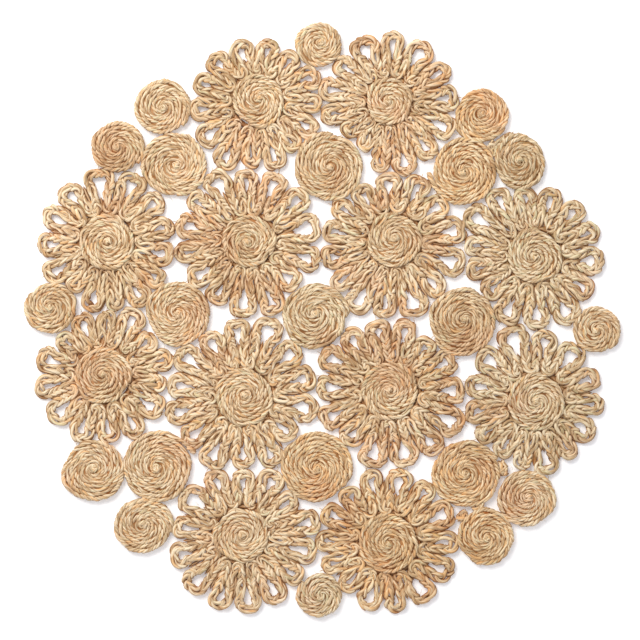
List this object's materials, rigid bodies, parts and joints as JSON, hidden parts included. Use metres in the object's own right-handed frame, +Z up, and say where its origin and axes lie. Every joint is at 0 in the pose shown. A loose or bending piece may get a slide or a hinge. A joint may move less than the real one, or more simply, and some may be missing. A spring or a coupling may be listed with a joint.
{
  "type": "round braided jute placemat",
  "caption": "Round openwork table mat of braided jute: looped flowers with coiled centres, and coiled discs sewn in between them.",
  "frame": {"origin": "on the table under the middle of the mat", "axes": "+Z up out of the mat's face, +Y towards the edge that is at the top in the picture, +X to the right there"},
  "size_m": [0.3802, 0.3802, 0.0056],
  "materials": {
    "jute_straw": "natural jute braid, pale straw, dry with a slight fibre gloss",
    "jute_amber": "natural jute braid, redder amber, dry with a slight fibre gloss",
    "jute_ash": "natural jute braid, greyer beige, dry with a slight fibre gloss"
  },
  "bodies": {
    "root": {"flower_a_petals": "jute_straw", "flower_a_core": "jute_straw", "flower_b_petals": "jute_straw", "flower_b_core": "jute_straw", "flower_c_petals": "jute_straw", "flower_c_core": "jute_straw", "flower_d_petals": "jute_straw", "flower_d_core": "jute_straw", "flower_e_petals": "jute_straw", "flower_e_core": "jute_straw", "flower_f_petals": "jute_ash", "flower_f_core": "jute_ash", "flower_g_petals": "jute_straw", "flower_g_core": "jute_straw", "flower_h_petals": "jute_straw", "flower_h_core": "jute_straw", "flower_i_petals": "jute_straw", "flower_i_core": "jute_straw", "flower_j_petals": "jute_ash", "flower_j_core": "jute_ash", "flower_k_petals": "jute_straw", "flower_k_core": "jute_straw", "flower_l_petals": "jute_amber", "flower_l_core": "jute_amber", "disc_a": "jute_straw", "disc_b": "jute_straw", "disc_c": "jute_straw", "disc_d": "jute_straw", "disc_e": "jute_straw", "disc_f": "jute_amber", "disc_g": "jute_amber", "disc_h": "jute_ash", "disc_i": "jute_straw", "disc_j": "jute_straw", "disc_k": "jute_ash", "disc_l": "jute_straw", "disc_m": "jute_straw", "disc_n": "jute_straw", "disc_o": "jute_straw", "disc_p": "jute_straw", "disc_q": "jute_amber", "disc_r": "jute_amber", "disc_s": "jute_straw", "disc_t": "jute_amber", "disc_u": "jute_ash"}
  },
  "joints": []
}
